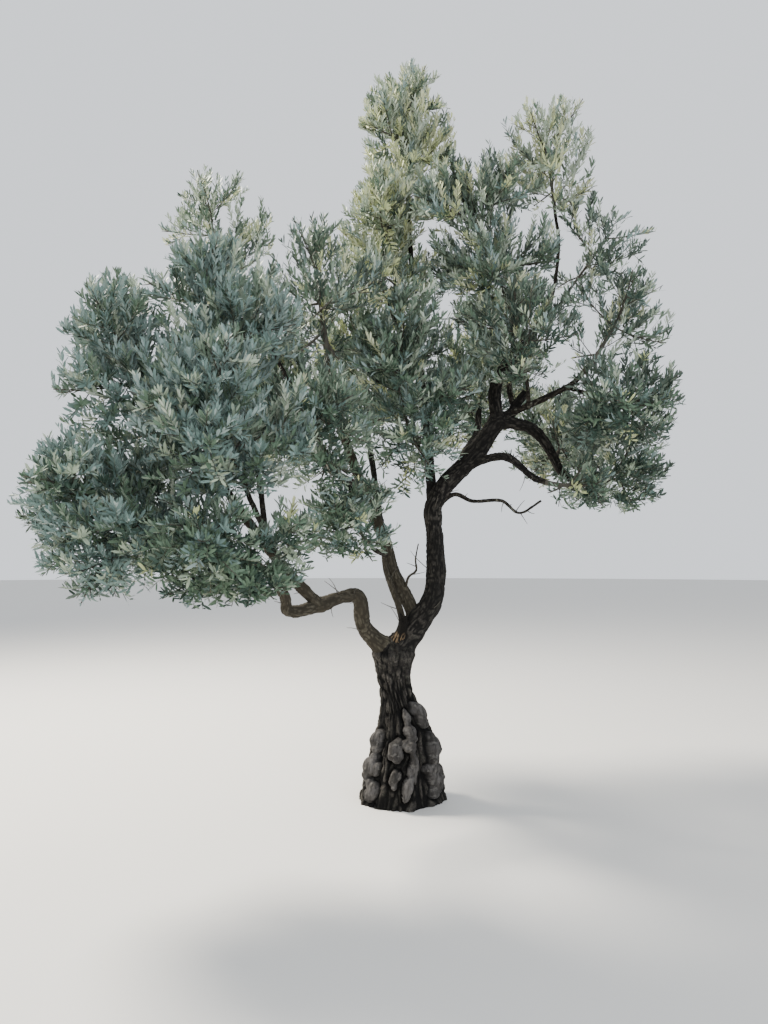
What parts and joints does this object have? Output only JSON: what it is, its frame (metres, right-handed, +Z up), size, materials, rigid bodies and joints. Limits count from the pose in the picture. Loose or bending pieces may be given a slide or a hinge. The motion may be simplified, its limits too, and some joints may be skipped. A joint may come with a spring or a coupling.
{
  "type": "olive tree",
  "caption": "Old rooted olive tree with a short burred trunk, forked gnarled boughs, sawn stubs and an open crown of separate masses of narrow leaves.",
  "frame": {"origin": "middle of the trunk's flat cut at ground level", "axes": "+Z up, -Y towards the viewer of the picture, +X to the right in the picture"},
  "size_m": [3.6502, 3.3287, 4.9027],
  "materials": {
    "bark": "rough, fissured old bark",
    "young_bark": "smoother grey-brown bark of thin limbs",
    "foliage": "leathery grey-green leaves, silvery beneath"
  },
  "bodies": {
    "root": {"arm_right": "young_bark", "bough_droop": "bark", "bough_droop_end": "young_bark", "bough_left": "bark", "bough_left_drop": "bark", "bough_left_high": "bark", "bough_left_low": "bark", "bough_low_right": "bark", "bough_middle": "bark", "bough_right": "bark", "bough_right_upper": "bark", "bough_upright": "bark", "foliage_back_centre": "foliage", "foliage_back_left": "foliage", "foliage_back_left_top": "foliage", "foliage_back_right": "foliage", "foliage_centre_front": "foliage", "foliage_centre_high": "foliage", "foliage_centre_low": "foliage", "foliage_heart": "foliage", "foliage_left_crest": "foliage", "foliage_left_front": "foliage", "foliage_left_low": "foliage", "foliage_left_mid": "foliage", "foliage_left_skirt": "foliage", "foliage_right_back": "foliage", "foliage_right_centre": "foliage", "foliage_right_droop": "foliage", "foliage_right_low": "foliage", "foliage_right_mid": "foliage", "foliage_right_side": "foliage", "foliage_right_skirt": "foliage", "foliage_right_top": "foliage", "foliage_right_upper": "foliage", "foliage_tall_left": "foliage", "foliage_tall_top": "foliage", "limb_back_centre": "young_bark", "limb_back_left": "young_bark", "limb_back_left_top": "young_bark", "limb_back_right": "bark", "limb_centre_front": "young_bark", "limb_centre_low": "young_bark", "limb_heart": "young_bark", "limb_left_crest": "young_bark", "limb_left_front": "young_bark", "limb_left_low": "bark", "limb_left_skirt": "young_bark", "limb_low_thin": "young_bark", "limb_right_back": "young_bark", "limb_right_centre": "young_bark", "limb_right_low": "young_bark", "limb_right_top": "young_bark", "limb_right_upper": "young_bark", "limb_rise": "young_bark", "limb_tall_left": "young_bark", "stub_crotch": "bark", "stub_side": "bark", "stub_upper": "bark", "trunk": "bark"}
  },
  "joints": []
}
